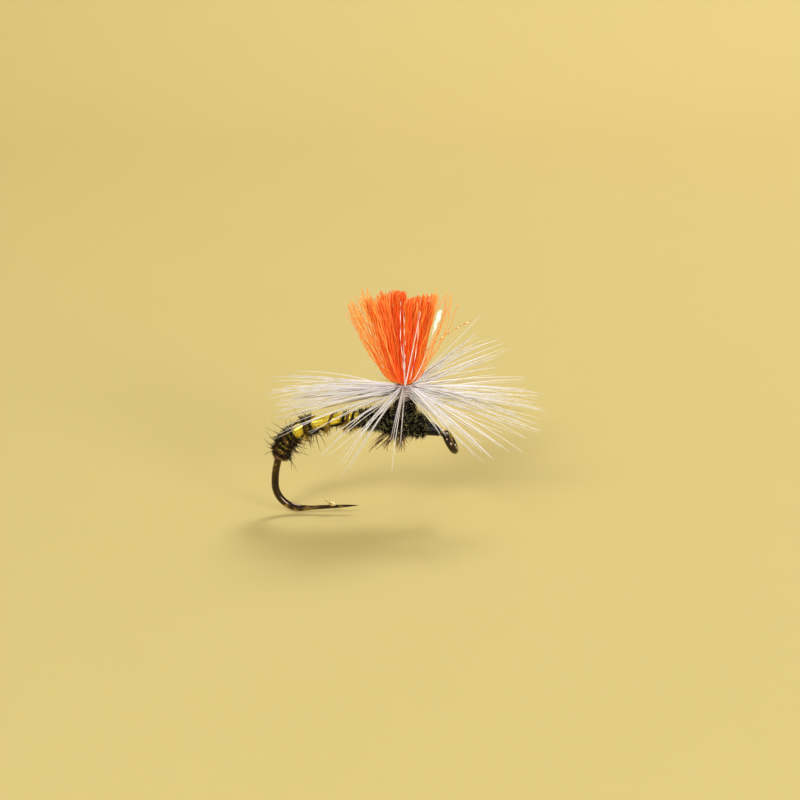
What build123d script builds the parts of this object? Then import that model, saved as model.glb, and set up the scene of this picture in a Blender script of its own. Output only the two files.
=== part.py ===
from build123d import *
import os
import random
from math import cos, radians, sin

# A parachute emerger dry fly on a curved, down-eyed hook. Millimetres, +Z up the wing post,
# +X forward to the hook eye, origin at the centre of the eye's bore.

# ---- hook wire -------------------------------------------------------------
wire_radius = 0.24
eye_ring_radius = 0.63  # centre of the eye to the centre of its wire
eye_bore_radius = 0.40
eye_slope = 60.0  # degrees that the ring's plane hangs below the horizontal
neck_heading = 161.0  # degrees from +X, where the wire leaves the eye
neck_run = 0.80
# radius and turn of each arc: crown of the shank, rear slope, heel, bend
shank_arcs = [(14.0, 31.0), (3.15, 54.5), (5.5, 24.5), (1.7, 92.0)]
spear_run = 0.50  # over which the wire slims down to the point's needle
spear_radius = 0.14
point_length = 3.10
point_tip_radius = 0.02
barb_root_front, barb_root_back, barb_tip_back = 1.55, 1.85, 2.30  # behind the point
barb_rise = 0.68
barb_width = 0.16

# ---- body, measured along the shank from the eye ---------------------------
thread_radius = 0.32
tinsel_radius = 0.41
thread_start, thread_end = 1.60, 12.0
tinsel_start, tinsel_end = 5.75, 11.8
herl_pitch = 0.78
herl_turns = 8
dark_band, brown_band = 0.34, 0.18
band_gap = 0.03
herl_radius_front, herl_radius_rear = 0.58, 0.62
thorax_band = 0.42
thorax_pitch = 0.45
rear_thorax_radii = [0.72, 0.86, 0.90, 0.88, 0.80]
front_thorax_radii = [0.84, 0.90]
front_thorax_band = 0.29
front_thorax_pitch = 0.32
rear_thorax_start, front_thorax_start = 3.72, 1.78
lashing_radius = 0.42
lashing_band = 0.10

# ---- wing post -------------------------------------------------------------
post_x = -2.89
post_along = 2.77  # where the post stands, measured along the shank from the eye
post_radius = 0.36
post_foot_z = 1.66
post_collar_z = 3.92
post_flare_z = 4.40
post_flare_half_x, post_flare_half_y = 0.80, 0.56
post_top_z = 10.10
post_top_half_x, post_top_half_y = 2.45, 1.15
flash_width, flash_thickness = 0.12, 0.02
collar_start_z = 2.20
collar_radius = 0.44

# ---- hackle ----------------------------------------------------------------
hackle_turns = 5
barbs_per_turn = 26
quill_radius = 0.055
quill_pitch = 0.15
first_turn_z = 3.20
barb_length = 7.60
barb_stretch = 0.35  # barbs along the body are this much longer, those across it shorter
mean_droop = 8.0
hackle_tilt = 13.0  # the wound collar leans to the near side by this many degrees
barb_root_radius = 0.040
barb_tip_radius = 0.010

# ---- legs ------------------------------------------------------------------
leg_along = 3.00
leg_drop = 1.25
leg_fibres = 6  # in each bunch

# ---- head ------------------------------------------------------------------
head_start, head_end = 0.52, 1.58
head_nose_radius, head_back_radius = 0.29, 0.56
varnish_film = 0.03
whip_band = 0.16

os.makedirs("parts", exist_ok=True)
rng = random.Random(14)


def save(piece, label):
    piece.part.label = label
    export_step(piece.part, f"parts/{label}.step")


def heading(degrees):
    return (cos(radians(degrees)), sin(radians(degrees)))


# ---- the wire's centreline, from the top of the eye round to the end of the bend --
eye_normal = (sin(radians(eye_slope)), 0, cos(radians(eye_slope)))
eye_plane = Plane((0, 0, 0), x_dir=(0, 1, 0), z_dir=eye_normal)
eye_top = (-eye_ring_radius * cos(radians(eye_slope)), eye_ring_radius * sin(radians(eye_slope)))

with BuildLine(Plane.XZ) as centreline:
    stretch = PolarLine(eye_top, neck_run, neck_heading)
    way = neck_heading
    for bend_radius, turn in shank_arcs:
        stretch = JernArc(stretch @ 1, heading(way), bend_radius, turn)
        way += turn
wire_path = centreline.wire()
wire_length = wire_path.length


def shank_plane(along):
    """The plane square to the wire, at a distance along it from the eye."""
    share = along / wire_length
    return Plane(wire_path.position_at(share), x_dir=(0, 1, 0), z_dir=wire_path.tangent_at(share))


def sleeve(start, end, inner, outer):
    """A tube of winding that follows the wire between two distances from the eye."""
    with BuildPart() as tube:
        with BuildSketch(shank_plane(start)):
            Circle(outer)
            Circle(inner, mode=Mode.SUBTRACT)
        sweep(path=wire_path.trim(start / wire_length, end / wire_length))
    return tube


def bands(places, inner, outers, width):
    """Separate rings of winding, square to the wire at the given distances from the eye."""
    with BuildPart() as rings:
        for along, outer in zip(places, outers):
            with BuildSketch(shank_plane(along)):
                Circle(outer)
                Circle(inner, mode=Mode.SUBTRACT)
            extrude(amount=width / 2, both=True)
        rims = rings.edges().filter_by(GeomType.CIRCLE).filter_by(lambda e: e.radius > inner + 0.02)
        chamfer(rims, length=min(width * 0.3, (min(outers) - inner) * 0.45))
    return rings


def spears(starts, ends, root_radius, tip_radius):
    """Separate slim six-sided fibres, each from a start point to an end point."""
    with BuildPart() as fibres:
        for start, end in zip(starts, ends):
            axis = Vector(*end) - Vector(*start)
            with BuildSketch(Plane(start, z_dir=axis)):
                RegularPolygon(root_radius, 6)
            with BuildSketch(Plane(end, z_dir=axis)):
                RegularPolygon(tip_radius, 6)
            loft()
    return fibres


# ---- hook: eye ring, shank, bend, spear, point and barb in one wire --------
bend_end = shank_plane(wire_length)
point_start = bend_end.offset(spear_run)
cone_base = Align.CENTER, Align.CENTER, Align.MIN
with BuildPart() as hook:
    with BuildSketch(shank_plane(0)):
        Circle(wire_radius)
    sweep(path=wire_path)
    with Locations(eye_plane):
        Torus(eye_ring_radius, wire_radius)
    with Locations(bend_end):
        Cone(wire_radius, spear_radius, spear_run, align=cone_base)
    with Locations(point_start):
        Cone(spear_radius, point_tip_radius, point_length, align=cone_base)
    with Locations(eye_plane):
        Cylinder(eye_bore_radius, 2 * wire_radius, mode=Mode.SUBTRACT)

    spear_way = Vector(*heading(way))
    spear_rise = Vector(-spear_way.Y, spear_way.X)
    spear_start = Vector(point_start.origin.X, point_start.origin.Z)
    root_front = spear_start + spear_way * (point_length - barb_root_front)
    root_back = spear_start + spear_way * (point_length - barb_root_back)
    barb_tip = spear_start + spear_way * (point_length - barb_tip_back) + spear_rise * barb_rise
    with BuildSketch(Plane.XZ):
        with BuildLine():
            Polyline(*[(corner.X, corner.Y) for corner in (root_front, barb_tip, root_back)], close=True)
        make_face()
    extrude(amount=barb_width / 2, both=True)
save(hook, "hook")

# ---- thread foundation, yellow tinsel and the two wound herls --------------
save(sleeve(thread_start, thread_end, wire_radius, thread_radius), "underbody_thread")
save(sleeve(tinsel_start, tinsel_end, thread_radius, tinsel_radius), "abdomen_tinsel")

dark_places = [tinsel_start + 0.35 + i * herl_pitch for i in range(herl_turns)]
shares = [i / (herl_turns - 1) for i in range(herl_turns)]
dark_radii = [herl_radius_front + (herl_radius_rear - herl_radius_front) * share for share in shares]
brown_places = [along + dark_band / 2 + band_gap + brown_band / 2 for along in dark_places[:-1]]
brown_radii = [radius - 0.05 for radius in dark_radii[:-1]]
save(bands(dark_places, tinsel_radius, dark_radii, dark_band), "abdomen_herl_dark")
save(bands(brown_places, tinsel_radius, brown_radii, brown_band), "abdomen_herl_brown")

# ---- peacock herl thorax, behind and in front of the post ------------------
rear_places = [rear_thorax_start + i * thorax_pitch for i in range(len(rear_thorax_radii))]
front_places = [front_thorax_start + i * front_thorax_pitch for i in range(len(front_thorax_radii))]
save(bands(rear_places, thread_radius, rear_thorax_radii, thorax_band), "thorax_herl_rear")
save(bands(front_places, thread_radius, front_thorax_radii, front_thorax_band), "thorax_herl_front")

# ---- thread lashings that hold the post's foot to the shank ----------------
lashing_places = [post_along + offset for offset in (-0.43, 0.45, 0.58)]
lashing_radii = [lashing_radius] * len(lashing_places)
save(bands(lashing_places, thread_radius, lashing_radii, lashing_band), "post_lashing")

# ---- wing post: orange yarn, its stray fibres and the pearl flash ----------
with BuildPart() as post_yarn:
    with BuildSketch(Plane.XY.offset(post_foot_z)):
        with Locations((post_x, 0)):
            Circle(post_radius)
    extrude(amount=post_collar_z - post_foot_z)
    for height, half_x, half_y in (
        (post_collar_z, post_radius, post_radius),
        (post_flare_z, post_flare_half_x, post_flare_half_y),
        (post_top_z, post_top_half_x, post_top_half_y),
    ):
        with BuildSketch(Plane.XY.offset(height)):
            with Locations((post_x, 0)):
                Ellipse(half_x, half_y)
    loft(ruled=True)
save(post_yarn, "post_yarn")

# Stray fibres splay outside the bundle. Each tip is its reach along X from the post, Y and Z.
stray_tips = [
    (-3.75, 0.5, 10.2),
    (-4.0, -0.3, 9.2),
    (-3.9, 0.1, 8.0),
    (-3.5, -0.8, 9.8),
    (3.2, 0.6, 9.5),
    (3.5, -0.4, 9.1),
]
stray_root_reach = 0.95
stray_starts = [
    (post_x + (stray_root_reach if reach > 0 else -stray_root_reach), depth / 2, post_flare_z)
    for reach, depth, height in stray_tips
]
stray_ends = [(post_x + reach, depth, height) for reach, depth, height in stray_tips]
save(spears(stray_starts, stray_ends, 0.035, 0.025), "post_yarn_strays")

# Pearl flash: flat strips laid up the near face and the front edge of the yarn.
# Each is where it starts, as X and Y from the post, and where it ends, as X from the post, Y and Z.
flash_strips = [
    ((0.55, -0.58), (2.25, -1.40, 8.9)),
    ((-0.05, -0.66), (-0.30, -1.40, 9.5)),
    ((0.92, 0.02), (4.25, 0.30, 8.1)),
]
with BuildPart() as post_flash:
    for (start_x, start_y), (reach, depth, height) in flash_strips:
        start = Vector(post_x + start_x, start_y, post_flare_z)
        strip = Vector(post_x + reach, depth, height) - start
        with BuildSketch(Plane(start, x_dir=(1, 0, 0), z_dir=strip)):
            Rectangle(flash_width, flash_thickness)
        extrude(amount=strip.length)
save(post_flash, "post_flash")

# ---- thread wraps up the post's base, and the hackle quill wound over them --
with BuildPart() as post_base_wraps:
    with BuildSketch(Plane.XY.offset(collar_start_z)):
        with Locations((post_x, 0)):
            Circle(collar_radius)
            Circle(post_radius, mode=Mode.SUBTRACT)
    extrude(amount=post_collar_z - collar_start_z)
save(post_base_wraps, "post_base_wraps")

quill_ring_radius = collar_radius + quill_radius
turn_heights = [first_turn_z + i * quill_pitch for i in range(hackle_turns)]
with BuildPart() as hackle_quill:
    with Locations(*[(post_x, 0, height) for height in turn_heights]):
        Torus(quill_ring_radius, quill_radius)
save(hackle_quill, "hackle_quill")

# ---- hackle barbs: each turn of quill throws a ring of stiff tapered fibres --
root_reach = quill_ring_radius + quill_radius
for turn, height in enumerate(turn_heights):
    starts, ends = [], []
    for i in range(barbs_per_turn):
        around = radians(360 / barbs_per_turn * (i + 0.37 * turn) + rng.uniform(-2, 2))
        droop = radians(mean_droop - hackle_tilt * sin(around) + rng.uniform(-7, 7))
        length = barb_length + barb_stretch * cos(2 * around) + rng.uniform(-0.45, 0.35)
        flat = cos(droop) * length
        starts.append((post_x + root_reach * cos(around), root_reach * sin(around), height))
        reach = root_reach + flat
        ends.append((post_x + reach * cos(around), reach * sin(around), height - length * sin(droop)))
    save(spears(starts, ends, barb_root_radius, barb_tip_radius), f"hackle_barbs_turn_{turn + 1}")

# ---- brown leg fibres tied in under the post, one bunch hanging, one swept back --
leg_root = shank_plane(leg_along).origin
for label, sweep_back in (("leg_fibres_front", 0.0), ("leg_fibres_rear", 1.15)):
    shift = -0.12 if sweep_back else 0.22
    starts = [
        (leg_root.X + shift + 0.05 * i, 0.09 * i - 0.22, leg_root.Z - lashing_radius)
        for i in range(leg_fibres)
    ]
    ends = [
        (x - sweep_back + 0.05 * i, 2.2 * y, z - leg_drop - 0.12 * (i % 3))
        for i, (x, y, z) in enumerate(starts)
    ]
    save(spears(starts, ends, 0.035, 0.012), label)

# ---- head: tapered thread, the whip finish behind the eye, and the varnish --
head_length = head_end - head_start
with BuildPart(shank_plane(head_start)) as head_thread:
    Cone(head_nose_radius, head_back_radius, head_length, align=cone_base)
    Cylinder(wire_radius, head_length, align=cone_base, mode=Mode.SUBTRACT)
save(head_thread, "head_thread")

with BuildPart(shank_plane(head_start)) as head_varnish:
    Cone(head_nose_radius + varnish_film, head_back_radius + varnish_film, head_length, align=cone_base)
    Cone(head_nose_radius, head_back_radius, head_length, align=cone_base, mode=Mode.SUBTRACT)
save(head_varnish, "head_varnish")

save(bands([head_start - whip_band / 2 - 0.01], wire_radius, [head_nose_radius], whip_band), "whip_finish")
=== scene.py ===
import bpy
import numpy as np
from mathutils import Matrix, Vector


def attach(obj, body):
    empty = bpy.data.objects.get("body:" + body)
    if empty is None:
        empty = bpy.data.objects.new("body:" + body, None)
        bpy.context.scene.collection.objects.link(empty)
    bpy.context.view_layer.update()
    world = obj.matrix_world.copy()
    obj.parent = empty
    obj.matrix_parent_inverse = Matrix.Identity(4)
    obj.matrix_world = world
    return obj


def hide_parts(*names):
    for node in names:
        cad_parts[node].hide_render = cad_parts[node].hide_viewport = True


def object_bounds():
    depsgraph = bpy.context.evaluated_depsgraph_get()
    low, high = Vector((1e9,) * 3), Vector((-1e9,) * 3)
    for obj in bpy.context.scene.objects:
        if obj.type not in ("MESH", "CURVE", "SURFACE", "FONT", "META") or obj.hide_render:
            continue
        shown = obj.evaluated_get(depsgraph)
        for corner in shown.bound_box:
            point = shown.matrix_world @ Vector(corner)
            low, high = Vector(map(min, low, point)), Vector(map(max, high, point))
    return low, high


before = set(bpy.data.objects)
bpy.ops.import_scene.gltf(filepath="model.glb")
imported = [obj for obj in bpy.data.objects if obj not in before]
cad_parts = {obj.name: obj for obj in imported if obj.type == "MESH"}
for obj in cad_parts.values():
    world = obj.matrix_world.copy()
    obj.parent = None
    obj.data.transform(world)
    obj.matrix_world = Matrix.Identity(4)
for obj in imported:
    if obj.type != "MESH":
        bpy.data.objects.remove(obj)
cad_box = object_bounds()

# Shapes are worked out in millimetres in the frame's axes, and written to meshes in metres.
MM = 0.001
rng = np.random.default_rng(14)

# ---------------------------------------------------------------- driving sizes (mm)
WIRE_R = 0.24
EYE_RING_R = 0.63
EYE_SLOPE = np.radians(60.0)
NECK_HEADING = np.radians(161.0)
NECK_RUN = 0.80
# Each arc of the shank is its radius and the degrees that it turns through.
SHANK_ARCS = [(14.0, 31.0), (3.15, 54.5), (5.5, 24.5), (1.7, 92.0)]
SPEAR_RUN = 0.50
POINT_LENGTH = 3.10
SPEAR_R = 0.14
# The barb's root and tip are measured back from the point, and its rise from the spear's middle.
BARB_ROOT, BARB_TIP, BARB_RISE = 1.55, 2.30, 0.68
BARB_ROOT_R = 0.17

THREAD_R = 0.32
TINSEL_R = 0.41
TINSEL_START, TINSEL_END = 5.55, 11.5
TINSEL_WIDTH, TINSEL_LAP = 0.36, 0.028
HEAD_START, HEAD_END = 0.52, 1.58
HEAD_NOSE_R, HEAD_BACK_R = 0.29, 0.56
HEAD_PITCH = 0.075
ABDOMEN_STEM_R, THORAX_STEM_R = 0.085, 0.095
STEM_FLATNESS = 0.6

POST_X = -2.89
COLLAR_LOW, COLLAR_HIGH, COLLAR_R = 2.20, 3.92, 0.44
POST_TOP = 10.10
POST_FOOT = 0.9
QUILL_R, QUILL_PITCH, FIRST_TURN = 0.055, 0.15, 3.20
TURNS = 5


def unit(v):
    return v / np.maximum(np.linalg.norm(v, axis=-1, keepdims=True), 1e-12)


# ---------------------------------------------------------------- the wire's centreline
def centreline():
    """Distance, X, Z and heading of places along the hook wire, from the top of the eye to the point."""
    here = np.array([-EYE_RING_R * np.cos(EYE_SLOPE), EYE_RING_R * np.sin(EYE_SLOPE)])
    way = NECK_HEADING
    along = 0.0
    rows = [(along, *here, way)]

    def straight(length, steps=24):
        nonlocal here, along
        for _ in range(steps):
            here = here + length / steps * np.array([np.cos(way), np.sin(way)])
            along += length / steps
            rows.append((along, *here, way))

    straight(NECK_RUN)
    for radius, turn in SHANK_ARCS:
        centre = here + radius * np.array([-np.sin(way), np.cos(way)])
        start = way
        for step in np.linspace(0, np.radians(turn), 97)[1:]:
            way = start + step
            here = centre + radius * np.array([np.sin(way), -np.cos(way)])
            rows.append((along + radius * step, *here, way))
        along += radius * np.radians(turn)
    straight(SPEAR_RUN + POINT_LENGTH)
    return np.array(rows)


WIRE = centreline()
WIRE_END = WIRE[-1, 0]


def on_wire(along):
    """Centre, tangent, outward side (away from the gape) and sideways direction along the wire."""
    along = np.asarray(along, float)
    x, z, way = (np.interp(along, WIRE[:, 0], WIRE[:, i]) for i in (1, 2, 3))
    centre = np.stack([x, 0 * x, z], -1)
    tangent = np.stack([np.cos(way), 0 * x, np.sin(way)], -1)
    outward = np.stack([np.sin(way), 0 * x, -np.cos(way)], -1)
    side = np.broadcast_to([0.0, 1.0, 0.0], centre.shape)
    return centre, tangent, outward, side


def around_wire(along, angle, radius):
    """Points at a radius and angle round the wire, and the spokes to them. Angle 0 is outward."""
    centre, _, outward, side = on_wire(along)
    spoke = np.cos(angle)[..., None] * outward + np.sin(angle)[..., None] * side
    return centre + np.asarray(radius)[..., None] * spoke, spoke


# ---------------------------------------------------------------- mesh making
def make_object(name, verts, blocks, materials, slots=None, attributes=None):
    """One mesh. Each block is an array of faces that all have the same number of corners."""
    mesh = bpy.data.meshes.new(name)
    sizes = np.concatenate([np.full(len(block), block.shape[1]) for block in blocks])
    loops = np.concatenate([block.ravel() for block in blocks])
    mesh.vertices.add(len(verts))
    mesh.vertices.foreach_set("co", (verts * MM).astype(np.float32).ravel())
    mesh.loops.add(len(loops))
    mesh.loops.foreach_set("vertex_index", loops.astype(np.int32))
    mesh.polygons.add(len(sizes))
    mesh.polygons.foreach_set("loop_start", np.concatenate([[0], np.cumsum(sizes)[:-1]]).astype(np.int32))
    for material in materials:
        mesh.materials.append(material)
    if slots is not None:
        mesh.polygons.foreach_set("material_index", slots.astype(np.int32))
    mesh.polygons.foreach_set("use_smooth", np.full(len(sizes), True))
    for key, values in (attributes or {}).items():
        layer = mesh.attributes.new(key, "FLOAT", "POINT")
        layer.data.foreach_set("value", values.astype(np.float32))
    mesh.update(calc_edges=True)
    mesh.validate()
    thing = bpy.data.objects.new(f"{name}_model", mesh)
    bpy.context.scene.collection.objects.link(thing)
    return thing


def strand_shell(paths, radii, sides, flat=1.0, face_dir=None):
    """Vertices, side faces and end faces of closed tubes along paths with equally many points.

    flat below 1 squashes a tube across, and face_dir is then the way that its broad side faces.
    """
    count, points, _ = paths.shape
    tangent = unit(np.gradient(paths, axis=1))
    if face_dir is None:
        helper = np.where(np.abs(tangent[:, 0, 2:]) < 0.8, [0.0, 0.0, 1.0], [1.0, 0.0, 0.0])
        normal = unit(np.cross(tangent[:, 0], helper))
        normals = [normal]
        for i in range(1, points):
            normal = unit(normal - (normal * tangent[:, i]).sum(-1, keepdims=True) * tangent[:, i])
            normals.append(normal)
        normals = np.stack(normals, 1)
    else:
        normals = unit(np.cross(tangent, np.broadcast_to(face_dir, paths.shape)))
    binormal = np.cross(tangent, normals)
    angle = np.arange(sides) * 2 * np.pi / sides
    ring = (
        np.cos(angle)[None, None, :, None] * normals[:, :, None]
        + flat * np.sin(angle)[None, None, :, None] * binormal[:, :, None]
    )
    verts = paths[:, :, None] + radii[:, :, None, None] * ring
    base = (np.arange(count) * points * sides)[:, None, None]
    row = base + (np.arange(points - 1) * sides)[None, :, None]
    k = np.arange(sides)[None, None]
    k2 = (k + 1) % sides
    quads = np.stack([row + k, row + k2, row + sides + k2, row + sides + k], -1).reshape(-1, 4)
    first = base[:, 0] + np.arange(sides)[::-1]
    last = base[:, 0] + (points - 1) * sides + np.arange(sides)
    return verts.reshape(-1, 3), quads, np.concatenate([first, last])


def join(shells):
    """Joins shells: all their vertices, their blocks of faces and the shell that each face is from."""
    verts, blocks, owner = [], [], []
    offset = 0
    for number, (shell_verts, *shell_blocks) in enumerate(shells):
        verts.append(shell_verts)
        blocks += [block + offset for block in shell_blocks]
        owner.append(np.full(sum(len(block) for block in shell_blocks), number))
        offset += len(shell_verts)
    return np.concatenate(verts), blocks, np.concatenate(owner)


def strands(name, paths, radii, material, sides, tone=None):
    """One mesh of many closed fibres. tone is one number per fibre, which its colour follows."""
    count, points, _ = paths.shape
    verts, *blocks = strand_shell(paths, radii, sides)
    if tone is None:
        tone = rng.random(count)
    attributes = {
        "tone": np.repeat(tone, points * sides),
        "along": np.tile(np.repeat(np.linspace(0, 1, points), sides), count),
    }
    return make_object(name, verts, blocks, [material], attributes=attributes)


def finish_piece(thing, node):
    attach(thing, "root")
    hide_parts(node)


# ---------------------------------------------------------------- material making
BUMP_DEPTH = 0.00001


class Paint:
    """A node material, built around one Principled shader."""

    def __init__(self, name):
        self.material = bpy.data.materials.new(name)
        self.material.use_nodes = True
        self.tree = self.material.node_tree
        self.shader = self.tree.nodes["Principled BSDF"]
        self.output = self.tree.nodes["Material Output"]

    def node(self, kind, **values):
        made = self.tree.nodes.new(kind)
        for key, value in values.items():
            setattr(made, key, value)
        return made

    def link(self, source, target):
        self.tree.links.new(source, target)

    def attribute(self, key):
        return self.node("ShaderNodeAttribute", attribute_name=key).outputs["Fac"]

    def noise(self, scale, detail=3.0, roughness=0.5):
        made = self.node("ShaderNodeTexNoise")
        made.inputs["Scale"].default_value = scale
        made.inputs["Detail"].default_value = detail
        made.inputs["Roughness"].default_value = roughness
        place = self.node("ShaderNodeTexCoord").outputs["Object"]
        self.link(place, made.inputs["Vector"])
        return made.outputs["Fac"]

    def math(self, operation, a, b):
        made = self.node("ShaderNodeMath", operation=operation)
        for socket, value in zip(made.inputs, (a, b)):
            if isinstance(value, float):
                socket.default_value = value
            else:
                self.link(value, socket)
        return made.outputs[0]

    def shade(self, tone_share, noise_share, scale):
        """A shade that varies from fibre to fibre, and a little within each."""
        tone = self.math("MULTIPLY", self.attribute("tone"), tone_share)
        return self.math("ADD", tone, self.math("MULTIPLY", self.noise(scale), noise_share))

    def ramp(self, source, stops):
        made = self.node("ShaderNodeValToRGB")
        ramp = made.color_ramp
        while len(ramp.elements) < len(stops):
            ramp.elements.new(0.5)
        for element, (place, colour) in zip(ramp.elements, stops):
            element.position = place
            element.color = (*colour, 1.0)
        self.link(source, made.inputs["Fac"])
        return made.outputs["Color"]

    def bump(self, source, strength):
        made = self.node("ShaderNodeBump")
        made.inputs["Strength"].default_value = strength
        made.inputs["Distance"].default_value = BUMP_DEPTH
        self.link(source, made.inputs["Height"])
        self.link(made.outputs["Normal"], self.shader.inputs["Normal"])

    def set(self, **values):
        for key, value in values.items():
            socket = self.shader.inputs[key.replace("_", " ").title().replace("Ior", "IOR")]
            if isinstance(value, tuple):
                socket.default_value = (*value, 1.0)
            elif isinstance(value, float):
                socket.default_value = value
            else:
                self.link(value, socket)

    def glow_through(self, share, colour):
        """Mixes in light that passes through a thin fibre."""
        through = self.node("ShaderNodeBsdfTranslucent")
        blend = self.node("ShaderNodeMixShader")
        blend.inputs["Fac"].default_value = share
        self.link(colour, through.inputs["Color"])
        self.link(self.shader.outputs["BSDF"], blend.inputs[1])
        self.link(through.outputs["BSDF"], blend.inputs[2])
        self.link(blend.outputs["Shader"], self.output.inputs["Surface"])


def bronzed_wire():
    p = Paint("bronzed_wire")
    # The gold patches at the top of this ramp are painted highlight; the dark patches below them are the
    # bronzing's own unevenness.
    colour = p.ramp(
        p.noise(1800, 4, 0.6),
        [(0.35, (0.012, 0.005, 0.001)), (0.56, (0.060, 0.028, 0.004)), (0.72, (0.62, 0.38, 0.08))],
    )
    rough = p.ramp(p.noise(5200), [(0.3, (0.10, 0.10, 0.10)), (0.8, (0.24, 0.24, 0.24))])
    p.set(base_color=colour, metallic=0.85, roughness=rough, coat_weight=0.6, coat_roughness=0.04)
    p.bump(p.noise(9000, 4), 0.12)
    return p.material


def cut_metal_painted_glint():
    """The barb's freshly cut face, where the bronzing is broken, its bare metal painted paler still as a
    painted glint.
    """
    p = Paint("cut_metal_painted_glint")
    # Painted highlight: pale gold to near white, a glint painted over the bare metal.
    colour = p.ramp(
        p.noise(5200),
        [(0.3, (0.62, 0.44, 0.14)), (0.6, (0.95, 0.80, 0.42)), (0.8, (1.0, 0.94, 0.74))],
    )
    p.set(base_color=colour, metallic=0.85, roughness=0.22, coat_weight=0.3, coat_roughness=0.08)
    p.bump(p.noise(12000), 0.2)
    return p.material


def waxed_thread(name, dark, light):
    p = Paint(name)
    ply = p.ramp(p.noise(14000, 3, 0.6), [(0.0, dark), (1.0, light)])
    p.set(base_color=ply, roughness=0.42, sheen_weight=0.12, sheen_roughness=0.4)
    p.bump(p.noise(26000, 2), 0.5)
    return p.material


def yellow_tinsel():
    p = Paint("yellow_tinsel")
    colour = p.ramp(
        p.noise(6000, 3, 0.6),
        [(0.30, (0.62, 0.40, 0.02)), (0.52, (0.95, 0.74, 0.05)), (0.75, (1.0, 0.93, 0.25))],
    )
    p.set(base_color=colour, metallic=0.75, roughness=0.22, coat_weight=0.5, coat_roughness=0.06)
    p.bump(p.noise(9000), 0.35)
    return p.material


def herl(name, gloss, through, stops):
    p = Paint(name)
    colour = p.ramp(p.shade(0.7, 0.3, 4200), stops)
    p.set(base_color=colour, roughness=gloss, specular_ior_level=0.22, sheen_weight=0.02, sheen_roughness=0.35)
    p.glow_through(through, colour)
    return p.material


def orange_yarn():
    """Fluorescent yarn: redder low down and more golden towards its tips, the tips lighter as a painted
    highlight, with a faint painted glow.
    """
    p = Paint("orange_yarn")
    # Painted highlight: the colour turns lighter and more golden towards the fibre tips.
    height = p.math("SUBTRACT", p.math("MULTIPLY", p.attribute("along"), 0.34), 0.11)
    colour = p.ramp(
        p.math("ADD", p.shade(0.75, 0.2, 2600), height),
        [
            (0.05, (1.0, 0.110, 0.010)),
            (0.35, (1.0, 0.225, 0.026)),
            (0.60, (0.97, 0.36, 0.035)),
            (0.92, (1.0, 0.62, 0.15)),
        ],
    )
    p.set(base_color=colour, roughness=0.34, specular_ior_level=0.5, sheen_weight=0.2, sheen_roughness=0.3)
    # Painted glow: the yarn gives off a little orange light of its own.
    p.set(emission_color=(1.0, 0.16, 0.03), emission_strength=0.10)
    p.glow_through(0.50, colour)
    return p.material


def pearl_flash():
    p = Paint("pearl_flash")
    sheet = p.ramp(
        p.noise(3000, 2),
        [(0.3, (1.0, 0.90, 0.88)), (0.55, (1.0, 0.99, 0.98)), (0.8, (0.90, 1.0, 0.98))],
    )
    p.set(base_color=sheet, metallic=0.10, roughness=0.12, coat_weight=1.0, coat_roughness=0.03)
    p.set(thin_film_thickness=420.0)
    # Painted glow: the flash gives off a little white light of its own, which brightens its glint.
    p.set(emission_color=(1.0, 0.97, 0.95), emission_strength=0.08)
    p.bump(p.noise(7000, 2), 0.3)
    return p.material


def copper_flash():
    p = Paint("copper_flash")
    sheet = p.ramp(
        p.noise(4200, 2),
        [(0.3, (0.80, 0.20, 0.05)), (0.55, (0.98, 0.42, 0.12)), (0.75, (1.0, 0.85, 0.60))],
    )
    p.set(base_color=sheet, metallic=0.8, roughness=0.16, coat_weight=0.8, coat_roughness=0.05)
    p.bump(p.noise(9000, 2), 0.5)
    return p.material


def hackle_fibre():
    """Pale barbs, a few of them brown."""
    p = Paint("hackle_fibre")
    body = p.ramp(
        p.shade(0.85, 0.15, 1500),
        [
            (0.04, (0.20, 0.13, 0.08)),
            (0.09, (0.50, 0.40, 0.30)),
            (0.16, (0.84, 0.81, 0.80)),
            (0.6, (0.93, 0.92, 0.925)),
            (0.95, (1.0, 0.99, 0.99)),
        ],
    )
    p.set(base_color=body, roughness=0.28, specular_ior_level=0.6, coat_weight=0.25, coat_roughness=0.15)
    p.glow_through(0.45, body)
    return p.material


def hackle_stem():
    p = Paint("hackle_stem")
    colour = p.ramp(
        p.noise(5000),
        [(0.3, (0.30, 0.22, 0.20)), (0.6, (0.55, 0.46, 0.46)), (0.8, (0.72, 0.64, 0.62))],
    )
    p.set(base_color=colour, roughness=0.35, specular_ior_level=0.5)
    p.bump(p.noise(16000, 2), 0.3)
    return p.material


def head_cement():
    """Varnish over black thread, shown as one dark glossy film."""
    p = Paint("clear_varnish")
    tint = p.ramp(p.noise(2500, 2), [(0.3, (0.003, 0.002, 0.002)), (0.7, (0.010, 0.008, 0.005))])
    p.set(base_color=tint, roughness=0.12, specular_ior_level=0.16, coat_weight=0.05, coat_roughness=0.05)
    p.bump(p.noise(9000, 2), 0.25)
    return p.material


BRONZE = bronzed_wire()
CUT_METAL_PAINTED_GLINT = cut_metal_painted_glint()
BLACK_THREAD = waxed_thread("black_thread", (0.004, 0.003, 0.003), (0.020, 0.016, 0.012))
GREY_THREAD = waxed_thread("grey_thread", (0.10, 0.075, 0.065), (0.36, 0.30, 0.28))
TINSEL = yellow_tinsel()
# Painted highlight: the olive and gold stops at the top give a few barbules painted sparkle.
PEACOCK = herl("peacock_herl", 0.25, 0.03, [
    (0.15, (0.002, 0.002, 0.001)),
    (0.64, (0.003, 0.003, 0.002)),
    (0.75, (0.012, 0.010, 0.005)),
    (0.82, (0.85, 0.74, 0.30)),
])
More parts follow.
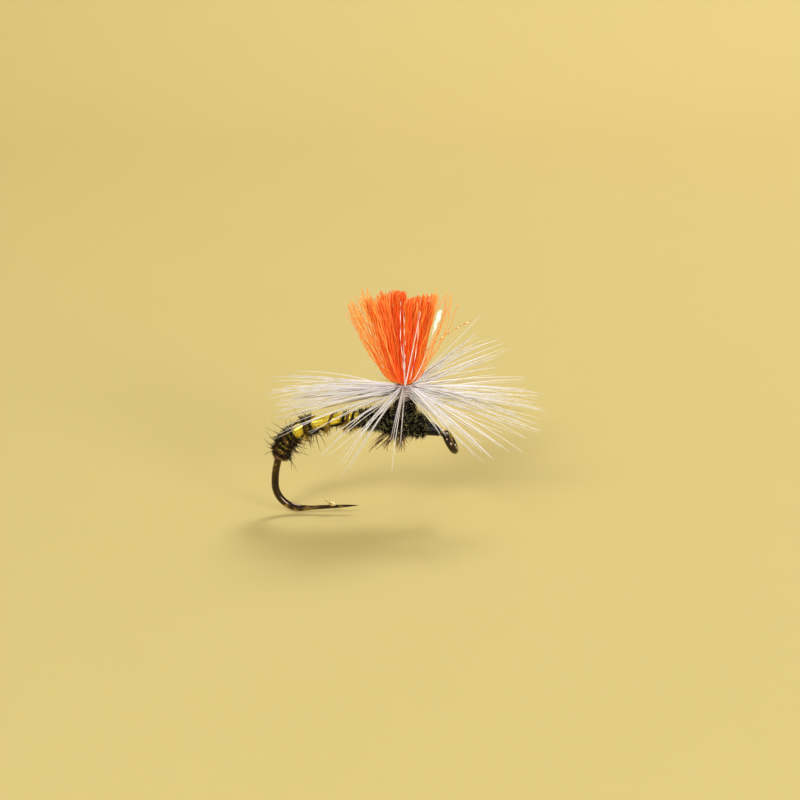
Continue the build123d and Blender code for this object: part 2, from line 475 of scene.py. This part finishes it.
# Painted highlight: the lightest brown stop gives a few barbules painted glints.
DARK_HERL = herl("dark_herl", 0.40, 0.08, [
    (0.10, (0.003, 0.002, 0.001)),
    (0.55, (0.008, 0.004, 0.001)),
    (0.73, (0.036, 0.017, 0.005)),
    (0.83, (0.22, 0.11, 0.03)),
])
BROWN_HERL = herl("brown_herl", 0.40, 0.40, [
    (0.10, (0.07, 0.026, 0.010)),
    (0.45, (0.18, 0.075, 0.024)),
    (0.75, (0.38, 0.20, 0.05)),
    (0.95, (0.62, 0.42, 0.10)),
])
GOLD_FUZZ = herl("gold_fuzz", 0.40, 0.55, [
    (0.10, (0.20, 0.10, 0.02)),
    (0.40, (0.50, 0.33, 0.05)),
    (0.70, (0.80, 0.60, 0.12)),
    (0.95, (0.95, 0.82, 0.30)),
])
YARN = orange_yarn()
FLASH = pearl_flash()
COPPER_FLASH = copper_flash()
FIBRE = hackle_fibre()
STEM = hackle_stem()
VARNISH = head_cement()


# ---------------------------------------------------------------- hook
def wire_shell():
    """The wire from eye to point: full thickness, then the slimmer spear, then the sharpened point."""
    spear_start = WIRE_END - POINT_LENGTH
    along = np.concatenate([np.linspace(0.0, spear_start, 260), np.linspace(spear_start, WIRE_END, 70)[1:]])
    centre, *_ = on_wire(along)
    left = WIRE_END - along
    slimming_run, slimming_past, point_swell, tip_r = 1.3, 0.2, 0.9, 0.010
    ease = np.clip((left - POINT_LENGTH + slimming_past) / slimming_run, 0, 1)
    thicker = (WIRE_R - SPEAR_R) * ease**2 * (3 - 2 * ease)
    radius = np.maximum(SPEAR_R * (1 - np.exp(-left / point_swell)) + thicker, tip_r)
    return strand_shell(centre[None], radius[None], 32)


def eye_shell():
    """The eye's ring, rolled almost shut, with a rounded end where it meets the neck."""
    steps = 120
    turn = np.radians(np.linspace(-4, 350, steps))
    down = np.array([np.cos(EYE_SLOPE), 0, -np.sin(EYE_SLOPE)])
    sideways = np.array([0, 1.0, 0])
    ring = EYE_RING_R * (-np.cos(turn)[:, None] * down + np.sin(turn)[:, None] * sideways)
    from_end = np.minimum(np.arange(steps), np.arange(steps)[::-1])
    radius = WIRE_R * np.sqrt(np.clip(from_end / 3.0, 0.15, 1))
    return strand_shell(ring[None], radius[None], 32)


def barb_shell():
    """The barb: a sliver cut up from the spear's inner side."""
    tip, tangent, outward, _ = on_wire(WIRE_END)
    share = np.linspace(0, 1, 24)
    back = BARB_ROOT + (BARB_TIP - BARB_ROOT) * share
    root_rise = 0.06
    height = root_rise + (BARB_RISE - root_rise) * share**1.25
    sliver = tip - back[:, None] * tangent - height[:, None] * outward
    radius = BARB_ROOT_R * (1 - share) ** 0.8 + 0.004
    return strand_shell(sliver[None], radius[None], 16, 0.55, [0.0, 1.0, 0.0])


def make_hook():
    verts, blocks, owner = join([wire_shell(), eye_shell(), barb_shell()])
    is_barb = owner == 2
    # The barb takes the pale cut-metal colour, which is partly a painted glint.
    hook = make_object("hook_wire", verts, blocks, [BRONZE, CUT_METAL_PAINTED_GLINT], is_barb)
    finish_piece(hook, "hook")


# ---------------------------------------------------------------- windings on the shank
def winding_path(stations, radius, per_turn=28, phase=0.0, hand=1):
    """A helix round the wire. Each station is a distance from the eye and the turns made by then."""
    place, made = np.array(stations).T
    turns = np.linspace(0, made[-1], int(made[-1] * per_turn) + 2)
    along = np.interp(turns, made, place)
    points, spoke = around_wire(along, phase + hand * 2 * np.pi * turns, radius(along))
    return points, spoke, along


def even_turns(start, end, pitch):
    return [(start, 0.0), (end, abs(end - start) / pitch)]


def level(radius):
    return lambda along: np.full(along.shape, radius)


def between(*stops):
    """A size that changes evenly between (distance from the eye, size) stops."""
    place, size = np.array(stops).T
    return lambda along: np.interp(along, place, size)


def head_radius(along):
    share = np.clip((along - HEAD_START) / (HEAD_END - HEAD_START), 0, 1)
    return HEAD_NOSE_R + (HEAD_BACK_R - HEAD_NOSE_R) * share**0.9


def wound_thread(name, thread_r, runs):
    """Black thread laid in turns: each run is its stations, the radius that it lies on and its phase."""
    shells = []
    for stations, radius, phase in runs:
        points, *_ = winding_path(stations, radius, phase=phase)
        shells.append(strand_shell(points[None], np.full((1, len(points)), thread_r), 8))
    verts, blocks, _ = join(shells)
    finish_piece(make_object(name, verts, blocks, [BLACK_THREAD]), name)


def make_threads():
    wound_thread("underbody_thread", 0.045, [
        (even_turns(1.6, 12.0, 0.085), level(THREAD_R - 0.045), 0.0),
        (even_turns(11.9, 5.2, 0.60), level(THREAD_R - 0.03), 1.0),
    ])
    lashing_r = THREAD_R + 0.06
    wound_thread("post_lashing", 0.035, [
        (even_turns(2.26, 2.46, 0.06), level(lashing_r), 0.0),
        (even_turns(3.14, 3.44, 0.06), level(lashing_r), 0.5),
        (even_turns(2.30, 3.40, 1.1), level(lashing_r + 0.04), 0.8),
        (even_turns(3.40, 2.30, 1.1), level(lashing_r + 0.04), 0.8),
    ])
    wound_thread("head_thread", 0.045, [
        (even_turns(HEAD_START, HEAD_END, HEAD_PITCH), lambda along: head_radius(along) - 0.04, 0.0),
        (even_turns(HEAD_END, HEAD_START, 0.24), lambda along: head_radius(along) - 0.02, 2.0),
    ])
    wound_thread("whip_finish", 0.032, [(even_turns(0.36, 0.53, 0.055), level(WIRE_R + 0.03), 0.0)])


def lathe_on_wire(name, start, end, radius, material, rows, cols):
    """A closed skin round the wire. radius gives its size at each distance and angle."""
    angle = np.arange(cols) * 2 * np.pi / cols
    along, angle = np.meshgrid(np.linspace(start, end, rows), angle, indexing="ij")
    points, _ = around_wire(along, angle, radius(along, angle))
    k = np.arange(cols)
    k2 = (k + 1) % cols
    row = (np.arange(rows - 1) * cols)[:, None]
    quads = np.stack([row + k, row + cols + k, row + cols + k2, row + k2], -1).reshape(-1, 4)
    ends = np.stack([k, (rows - 1) * cols + k[::-1]])
    return make_object(name, points.reshape(-1, 3), [quads, ends], [material])


def make_tinsel():
    """Flat tinsel wound with its turns lapped: each turn climbs a little over the last."""
    def lapped(along, angle):
        return TINSEL_R - 0.01 + TINSEL_LAP * ((along / TINSEL_WIDTH + angle / (2 * np.pi)) % 1.0)

    skin = lathe_on_wire("abdomen_tinsel", TINSEL_START, TINSEL_END, lapped, TINSEL, 420, 56)
    finish_piece(skin, "abdomen_tinsel")


def make_varnish():
    """The cement over the head, which follows the thread's turns and sags a little."""
    margin, depth = 0.02, 0.020

    def coated(along, angle):
        turns = 0.010 * np.sin(2 * np.pi * along / HEAD_PITCH + angle)
        return head_radius(along) + depth + turns + 0.006 * np.cos(3 * angle)

    skin = lathe_on_wire("head_varnish", HEAD_START - margin, HEAD_END + margin, coated, VARNISH, 150, 48)
    finish_piece(skin, "head_varnish")


# ---------------------------------------------------------------- herl: a wound quill with barbules
BARBULE_POINTS, BARBULE_SIDES = 5, 4
NOT_BARE = (0.0, 0.0, 1.0)


def barbules_on(points, spoke, along, swell, bare, count, length, spread, root_r, curl):
    """Paths and radii of fine fibres that stand off a wound quill.

    swell scales their length along the wire. bare is a stretch of the wire and how far up a spoke
    has to point there to carry none.
    """
    tangents = unit(np.gradient(points, axis=0))
    low = rng.integers(0, len(points) - 1, count)
    frac = rng.random((count, 1))
    start, end, top = bare
    low = low[~((along[low] > start) & (along[low] < end) & (spoke[low][:, 2] > top))]
    count = len(low)
    frac = frac[:count]
    root = points[low] * (1 - frac) + points[low + 1] * frac
    out = unit(spoke[low] + spread * rng.normal(size=(count, 3)))
    out = unit(out + 0.3 * tangents[low] * rng.normal(size=(count, 1)))
    tuft = 1 + 0.25 * np.sin(9.0 * along[low] + 1.3) * np.cos(0.31 * low)
    reach = length * swell(along[low]) * tuft * rng.uniform(0.35, 1.0, count) ** 0.8
    share = np.linspace(0, 1, BARBULE_POINTS)
    bend = unit(np.cross(out, rng.normal(size=(count, 3)))) * curl * reach[:, None]
    straight = out[:, None] * (share * reach[:, None])[..., None]
    paths = root[:, None] + straight + bend[:, None] * (share**2)[None, :, None]
    return paths, barbule_radii(root_r, count)


def barbule_radii(root_r, count):
    share = np.linspace(0, 1, BARBULE_POINTS)
    return root_r * (1 - 0.85 * share)[None] * rng.uniform(0.7, 1.2, (count, 1))


def wound_herl(
    name, stations, base, swell, stem_r, materials, barbules, phase=0.0, hand=1, bare=NOT_BARE
):
    """One strand of herl: its quill as a wound tube, and its barbules.

    Each row of barbules is a count, length, spread, root radius and curl.
    """
    points, spoke, along = winding_path(stations, lambda s: base(s) + stem_r * STEM_FLATNESS, 36, phase, hand)
    stem_radii = np.full((1, len(points)), stem_r)
    shells = [strand_shell(points[None], stem_radii, 10, STEM_FLATNESS, spoke[None])]
    tone = [np.full(len(shells[0][0]), 0.55)]
    for row in barbules:
        paths, radii = barbules_on(points, spoke, along, swell, bare, *row)
        shells.append(strand_shell(paths, radii, BARBULE_SIDES))
        tone.append(np.repeat(rng.random(len(paths)), BARBULE_POINTS * BARBULE_SIDES))
    verts, blocks, owner = join(shells)
    is_barbule = owner > 0
    attributes = {"tone": np.concatenate(tone)}
    finish_piece(make_object(name, verts, blocks, materials, is_barbule, attributes), name)


def make_body():
    wound_herl(
        "abdomen_herl_dark",
        [(5.75, 0.0), (6.7, 1.6), (8.5, 1.73), (9.35, 4.1), (9.95, 4.3), (11.75, 9.2)],
        level(TINSEL_R - 0.02),
        between((5.7, 0.9), (8.0, 1.0), (9.0, 1.1), (9.6, 0.7), (10.2, 1.1), (11.8, 1.0)),
        ABDOMEN_STEM_R, [DARK_HERL, DARK_HERL],
        [(5000, 0.40, 0.75, 0.018, 0.35), (170, 1.20, 0.42, 0.034, 0.25)],
        phase=np.radians(106), hand=-1, bare=(5.7, 8.4, 0.55),
    )
    wound_herl(
        "abdomen_herl_brown",
        [(5.9, 0.0), (6.6, 1.2), (8.6, 2.6), (10.1, 3.4), (11.2, 4.2), (12.0, 6.4)],
        level(TINSEL_R),
        between((5.7, 1.1), (9.5, 1.1), (10.2, 0.40), (11.8, 0.30)),
        ABDOMEN_STEM_R, [BROWN_HERL, GOLD_FUZZ],
        [(2400, 0.52, 0.50, 0.019, 0.4), (110, 0.80, 0.4, 0.024, 0.3)],
        phase=np.radians(225), hand=-1, bare=(5.7, 12.0, 0.10),
    )
    wound_herl(
        "thorax_herl_rear", even_turns(3.45, 5.75, 0.34),
        between((3.4, THREAD_R + 0.12), (5.0, THREAD_R + 0.02), (5.8, THREAD_R - 0.02)),
        between((3.4, 1.1), (4.4, 1.0), (5.2, 0.75), (5.8, 0.6)),
        THORAX_STEM_R, [PEACOCK, PEACOCK],
        [(4700, 0.56, 0.85, 0.018, 0.5), (280, 0.90, 0.6, 0.022, 0.5), (90, 0.45, 0.6, 0.036, 0.3)],
    )
    wound_herl(
        "thorax_herl_front", even_turns(1.25, 3.30, 0.32),
        between(
            (1.2, HEAD_BACK_R - 0.08), (1.7, THREAD_R + 0.14), (2.3, THREAD_R + 0.14), (3.4, THREAD_R + 0.12)
        ),
        between((1.2, 0.40), (1.7, 0.70), (2.3, 1.05), (3.4, 1.1)),
        THORAX_STEM_R, [PEACOCK, PEACOCK],
        [(4500, 0.58, 0.85, 0.018, 0.5), (260, 0.90, 0.6, 0.022, 0.5), (90, 0.45, 0.6, 0.036, 0.3)],
        phase=1.0,
    )
    make_collar_herl()


def make_collar_herl():
    """The last turns of the thorax herl, which climb the foot of the post."""
    last_turn, foot, climb = 4, 1.90, 0.25
    turns = np.linspace(0, last_turn, 150)
    angle = 2 * np.pi * turns
    reach = COLLAR_R + 0.10 + 0.05 * np.sin(5.3 * turns)
    height = foot + climb * turns + 0.10 * np.sin(angle + 0.6)
    spoke = np.stack([np.cos(angle), np.sin(angle), np.full(angle.shape, 0.15)], -1)
    points = np.stack([POST_X + reach * np.cos(angle), reach * np.sin(angle), height], -1)
    count = 2600
    low = rng.integers(0, len(points) - 1, count)
    out = unit(spoke[low] + 0.60 * rng.normal(size=(count, 3)))
    share = np.linspace(0, 1, BARBULE_POINTS)
    stretch = (0.42 - 0.14 * turns[low] / last_turn) * rng.uniform(0.4, 1.0, count)
    paths = points[low][:, None] + out[:, None] * (share * stretch[:, None])[..., None]
    radii = barbule_radii(0.016, count)
    quill = strands("collar_herl_quill", points[None], np.full((1, len(points)), 0.085), PEACOCK, 8)
    finish_piece(quill, "thorax_herl_front")
    fuzz = strands("collar_herl_barbules", paths, radii, PEACOCK, BARBULE_SIDES)
    finish_piece(fuzz, "thorax_herl_front")


def make_legs():
    """Brown fibres under the thorax: each bunch is its name, its sweep back, its shift and its count."""
    under_post, *_ = on_wire(3.0)
    for name, sweep, shift, count in (
        ("leg_fibres_front", 0.0, -0.05, 40),
        ("leg_fibres_rear", 1.25, -0.25, 30),
    ):
        start = under_post + [shift, -0.10, -0.38] + rng.normal(size=(count, 3)) * [0.16, 0.18, 0.04]
        drop = rng.uniform(0.85, 1.70, count)
        stray = rng.normal(size=(count, 2)) * [0.24, 0.30]
        back = -sweep * rng.uniform(0.6, 1.1, count) + stray[:, 0]
        lean = np.stack([back, stray[:, 1], -drop], -1)
        share = np.linspace(0, 1, 9)
        paths = start[:, None] + lean[:, None] * share[None, :, None]
        paths[:, :, 0] += 0.14 * np.sin(share * 3.0)[None] * rng.normal(size=(count, 1))
        radii = 0.032 * (1 - 0.75 * share)[None] * rng.uniform(0.7, 1.3, (count, 1))
        finish_piece(strands(name, paths, radii, BROWN_HERL, 5), name)


# ---------------------------------------------------------------- wing post
def fan_paths(tips, gather, waver, points=30):
    """Fibres that rise from the narrow collar, bulge over its top wrap and splay to their tips.

    gather is the radius of the collar that they fill, and waver how far they stray on the way.
    """
    count = len(tips)
    share = np.linspace(0, 1, points) ** 1.15
    hidden = 0.10
    turn = rng.uniform(0, 2 * np.pi, count)
    reach = gather * np.sqrt(rng.random(count))
    foot_z = np.full(count, COLLAR_HIGH - POST_FOOT)
    foot = np.stack([POST_X + reach * np.cos(turn), reach * np.sin(turn), foot_z], -1)
    neck = foot + [0, 0, POST_FOOT]
    rise = np.clip((share - hidden) / (1 - hidden), 0, 1)
    spread = 0.22 * (1 - np.exp(-rise / 0.03)) + 0.78 * rise**0.85
    paths = neck[:, None] + (tips - neck)[:, None] * np.stack([spread, spread, rise], -1)[None]
    below = np.clip(share / hidden, 0, 1)[None, :, None]
    paths = foot[:, None] * (1 - below) + paths * below
    for size, slow, fast in ((1.0, 4, 9), (0.30, 16, 30)):
        phase = rng.uniform(0, 2 * np.pi, (count, 1, 2))
        rate = rng.uniform(slow, fast, (count, 1, 2))
        wave = np.sin(rate * rise[None, :, None] + phase) - np.sin(phase)
        paths[:, :, :2] += size * waver * wave * np.sqrt(rise)[None, :, None]
    return paths


def make_post():
    """The bundle, as tufts side by side that thin out to its edges."""
    tufts, half_width = 18, 2.5
    place = np.linspace(-2.60, 1.80, tufts) + rng.normal(0, 0.08, tufts)
    depth = 0.80 * np.sqrt(np.clip(1 - (place / 2.7) ** 2, 0, 1)) * rng.uniform(-1, 1, tufts)
    top = POST_TOP - 0.30 - 0.28 * (place / half_width) ** 2 + rng.normal(0, 0.10, tufts)
    crowd = np.round(33 - 27 * np.abs(place / half_width) ** 1.2).astype(int)
    place *= np.where(place > 0, 1.17, 1.0)
    tuft = np.repeat(np.arange(tufts), crowd)
    count = len(tuft)
    tips = np.stack([place, depth, top], -1)[tuft] + rng.normal(size=(count, 3)) * [0.10, 0.14, 0.0]
    tips[:, 2] -= np.abs(rng.normal(0, 0.23, count))
    tips[:, 0] += POST_X
    edge = np.abs(place[tuft]) / half_width
    paths = fan_paths(tips, 0.29, 0.105)
    tone = np.clip(0.16 + 0.78 * edge**1.5 + 0.30 * rng.normal(size=count), 0, 1)
    radii = np.full((count, paths.shape[1]), 0.030) * rng.uniform(0.7, 1.2, (count, 1))
    finish_piece(strands("post_yarn", paths, radii, YARN, 5, tone), "post_yarn")


def make_strays():
    """Paler fibres that splay outside the bundle, most of them to its back."""
    count = 54
    side = np.where(rng.random(count) < 0.7, -1.0, 1.0)
    out = rng.uniform(2.3, 3.7, count) - 0.35 * (side > 0)
    height = 10.3 - 0.75 * (out - 2.2) - rng.uniform(0, 0.8, count) ** 1.5
    tips = np.stack([POST_X + side * out, rng.uniform(-0.9, 0.9, count), height], -1)
    paths = fan_paths(tips, 0.34, 0.15)
    radii = np.full((count, paths.shape[1]), 0.025) * rng.uniform(0.7, 1.2, (count, 1))
    tone = np.clip(0.82 + 0.12 * rng.normal(size=count), 0, 1)
    finish_piece(strands("post_yarn_strays", paths, radii, YARN, 5, tone), "post_yarn_strays")


def make_flash():
    """Narrow strips: one breaks out of the yarn as a flat glint, brightened by a painted glow, and the rest
    show as threads.
    """
    strips = [
        # tip as X from the post, Y and Z; half width; turns of twist; share that stays slim; copper
        ((2.22, -1.05, 9.0), 0.200, 0.45, 0.74, False),
        ((-0.35, -0.95, 9.6), 0.022, 3.0, 0.0, False),
        ((-0.15, -0.80, 9.0), 0.020, 4.0, 0.0, False),
        ((4.28, 0.30, 8.05), 0.034, 5.0, 0.0, True),
        ((0.95, -0.90, 8.9), 0.024, 2.0, 0.0, False),
    ]
    slim_half = 0.030
    share = np.linspace(0, 1, 70)
    shells = []
    for (reach, depth, height), half, twists, slim, copper in strips:
        tip = np.array([[POST_X + reach, depth, height]])
        path = fan_paths(tip, 0.10, 0.06, len(share))[0]
        if copper:
            # The copper strip leaves the collar on its own, in a smooth arc.
            run = share[:, None] ** 1.3
            neck = np.array([[POST_X, 0, COLLAR_HIGH]])
            path = neck + (tip - neck) * np.hstack([run, run, run**0.55])
        turn = 2 * np.pi * twists * (1 - share) + 0.35
        across = np.stack([np.sin(turn), -np.cos(turn), 0 * turn], -1)
        opened = half * np.sqrt(np.clip((share - slim) / 0.06, 0.05, 1))
        broad = np.where(share < slim, slim_half, opened)
        broad *= np.sqrt(np.clip((1 - share) / 0.05, 0.02, 1)) * (1 - 0.22 * np.sin(75 * share) ** 2)
        if slim > 0:
            path[:, 0] += 0.03 * np.sin(64 * share) * (share > slim)
        shells.append(strand_shell(path[None], broad[None], 8, 0.10, across[None]))
    verts, blocks, owner = join(shells)
    is_copper = np.array([strip[-1] for strip in strips])[owner]
    flash = make_object("post_flash", verts, blocks, [FLASH, COPPER_FLASH], is_copper)
    finish_piece(flash, "post_flash")


def helix_up_post(low, high, pitch, radius):
    turns = (high - low) / pitch
    share = np.linspace(0, 1, int(turns * 32) + 2)
    angle = 2 * np.pi * turns * share
    height = low + (high - low) * share
    return np.stack([POST_X + radius * np.cos(angle), radius * np.sin(angle), height], -1)


def make_collar():
    path = helix_up_post(COLLAR_LOW - 0.35, COLLAR_HIGH, 0.062, COLLAR_R - 0.03)
    thread = strands("post_base_wraps", path[None], np.full((1, len(path)), 0.034), GREY_THREAD, 8)
    finish_piece(thread, "post_base_wraps")
    high = FIRST_TURN + TURNS * QUILL_PITCH
    path = helix_up_post(FIRST_TURN - 0.08, high, QUILL_PITCH, COLLAR_R + QUILL_R)
    radii = np.linspace(QUILL_R + 0.020, QUILL_R, len(path))[None]
    quill = strands("hackle_quill", path[None], radii, STEM, 10)
    finish_piece(quill, "hackle_quill")


# ---------------------------------------------------------------- hackle
# The collar's tilt: how far the barbs rise above level, in degrees, at each bearing round the post.
# Bearing 0 is forward, -90 is the near side.
BEARINGS = [-180, -150, -125, -90, -50, -20, 0, 25, 50, 75, 95, 120, 150, 180]
RISES = [-3, -9, -27, -25, -20, -13, -7, 1, 14, 7, 0, -12, -8, -3]
# The barbs part into groups: bearing, spread, share of the barbs and length against the rest.
GROUPS = [
    (-4, 18, 0.27, 1.0),
    (-54, 4, 0.04, 0.56),
    (185, 15, 0.31, 1.0),
    (-122, 8, 0.10, 1.0),
    (-101, 6, 0.04, 0.80),
    (-39, 6, 0.06, 1.0),
    (46, 9, 0.09, 1.0),
    (112, 24, 0.08, 1.0),
]
BARBS_PER_TURN = 40
CLUMPS = 74
# Two barbs of the top turn stand up in front of the post: which way they lean, and their lengths.
UPRIGHTS = [[0.19, -0.08, 1.0], [-0.02, -0.16, 1.0]]
UPRIGHT_LENGTHS = [5.1, 3.1]


def make_hackle():
    share = np.linspace(0, 1, 18)
    centre, spread, part, reach = np.array(GROUPS).T
    group = np.repeat(np.arange(len(GROUPS)), np.round(part * CLUMPS).astype(int))
    clumps = len(group)
    clump_bearing = centre[group] + spread[group] * rng.normal(size=clumps)
    clump_rise = rng.normal(0, 4.5, clumps)
    clump_arch = rng.normal(0.05, 0.035, clumps)
    for turn in range(TURNS):
        clump = rng.permutation(clumps)[np.arange(BARBS_PER_TURN) % clumps]
        bearing = (clump_bearing[clump] + rng.normal(0, 3.5, BARBS_PER_TURN) + 180) % 360 - 180
        tilt = np.interp(bearing, BEARINGS, RISES)
        rise = tilt + clump_rise[clump] + rng.normal(0, 2.5, BARBS_PER_TURN)
        around, lift = np.radians(bearing), np.radians(rise)
        usual = 7.6 + 0.40 * np.cos(2 * around) + 0.22 * np.cos(around)
        length = (usual + rng.uniform(-1.7, 0.55, BARBS_PER_TURN)) * reach[group][clump]
        spoke = np.stack([np.cos(around), np.sin(around), 0 * around], -1)
        swing = np.stack([-np.sin(around), np.cos(around), 0 * around], -1)
        direction = spoke * np.cos(lift)[:, None] + [0, 0, 1.0] * np.sin(lift)[:, None]
        if turn == TURNS - 1:
            direction[:2] = unit(np.array(UPRIGHTS))
            spoke[:2] = [0.0, -1.0, 0.0]
            length[:2] = UPRIGHT_LENGTHS
        root = [POST_X, 0, FIRST_TURN + turn * QUILL_PITCH] + (COLLAR_R + QUILL_R) * spoke
        arch = clump_arch[clump] + rng.normal(0, 0.012, BARBS_PER_TURN)
        side = rng.normal(0, 0.035, BARBS_PER_TURN)
        paths = root[:, None] + direction[:, None] * (length[:, None] * share[None])[..., None]
        paths[:, :, 2] += (arch * length)[:, None] * 2 * (share * (1 - share))[None]
        paths += swing[:, None] * ((side * length)[:, None] * (share**2)[None])[..., None]
        taper = np.clip(1.0 - 0.75 * share**1.6, 0.15, 1)
        radii = 0.037 * taper[None] * rng.uniform(0.7, 1.25, (BARBS_PER_TURN, 1))
        name = f"hackle_barbs_turn_{turn + 1}"
        finish_piece(strands(name, paths, radii, FIBRE, 6), name)


make_hook()
make_threads()
make_tinsel()
make_body()
make_legs()
make_post()
make_strays()
make_flash()
make_collar()
make_hackle()
make_varnish()


# ---------------------------------------------------------------- floor, light and camera
def make_stage():
    """A pale sweep under the fly: a flat floor that curves up into a wall behind it."""
    floor_z = cad_box[0][2] / MM - 0.15
    bend_start, bend_r = 120, 90
    bend = np.linspace(0, np.pi / 2, 24)[1:]
    floor = np.linspace(-260, bend_start, 20)
    wall = [bend_start + bend_r] * 2
    depth = np.concatenate([floor, bend_start + bend_r * np.sin(bend), wall])
    rise = np.concatenate([0 * floor, bend_r - bend_r * np.cos(bend), [160, 320]])
    width = np.linspace(-400, 400, 9)
    y, x = np.meshgrid(depth, width, indexing="ij")
    z = np.broadcast_to(rise[:, None], y.shape) + floor_z
    verts = np.stack([x, y, z], -1).reshape(-1, 3)
    cols = len(width)
    i, j = np.meshgrid(np.arange(len(depth) - 1), np.arange(cols - 1), indexing="ij")
    first = (i * cols + j).ravel()
    quads = np.stack([first, first + 1, first + cols + 1, first + cols], -1)
    p = Paint("pale_sweep")
    colour = p.ramp(p.noise(60), [(0.0, (0.542, 0.438, 0.162)), (1.0, (0.556, 0.450, 0.172))])
    p.set(base_color=colour, roughness=0.85)
    sweep = make_object("floor_sweep", verts, [quads], [p.material])


def aimed(name, data, place, target):
    """An object at a place in metres, whose -Z points at a target."""
    thing = bpy.data.objects.new(name, data)
    thing.location = place
    thing.rotation_euler = (Vector(target) - Vector(place)).to_track_quat("-Z", "Y").to_euler()
    bpy.context.scene.collection.objects.link(thing)
    return thing


def area_light(name, place, size, power, colour):
    data = bpy.data.lights.new(name, "AREA")
    data.shape = "DISK"
    data.size = size
    data.energy = power
    data.color = colour
    aimed(name, data, place, (POST_X * MM, 0, 3 * MM))


def make_lights():
    area_light("key", (-0.15, -0.27, 0.26), 0.12, 0.80, (1.0, 0.98, 0.95))
    area_light("fill", (0.22, -0.30, 0.11), 0.16, 0.85, (1.0, 0.98, 0.97))
    area_light("rim", (0.10, 0.17, 0.26), 0.12, 0.60, (1.0, 0.97, 0.94))
    world = bpy.data.worlds.new("studio")
    world.use_nodes = True
    background = world.node_tree.nodes["Background"]
    background.inputs["Color"].default_value = (1.0, 0.97, 0.92, 1)
    background.inputs["Strength"].default_value = 0.42
    bpy.context.scene.world = world


def make_camera():
    """The view from the fly's side, a little above it, that frames 50.8 mm across."""
    elevation = np.radians(18.0)
    field = 50.8
    data = bpy.data.cameras.new("camera")
    data.lens = 100.0
    data.sensor_width = 36.0
    data.clip_start = 0.005
    data.clip_end = 5.0
    distance = field * data.lens / data.sensor_width
    target = np.array([-3.207, 0.0, 2.667 / np.cos(elevation)])
    place = target + distance * np.array([0, -np.cos(elevation), np.sin(elevation)])
    bpy.context.scene.camera = aimed("camera", data, place * MM, target * MM)


make_stage()
make_lights()
make_camera()
bpy.context.scene.view_settings.view_transform = "Standard"
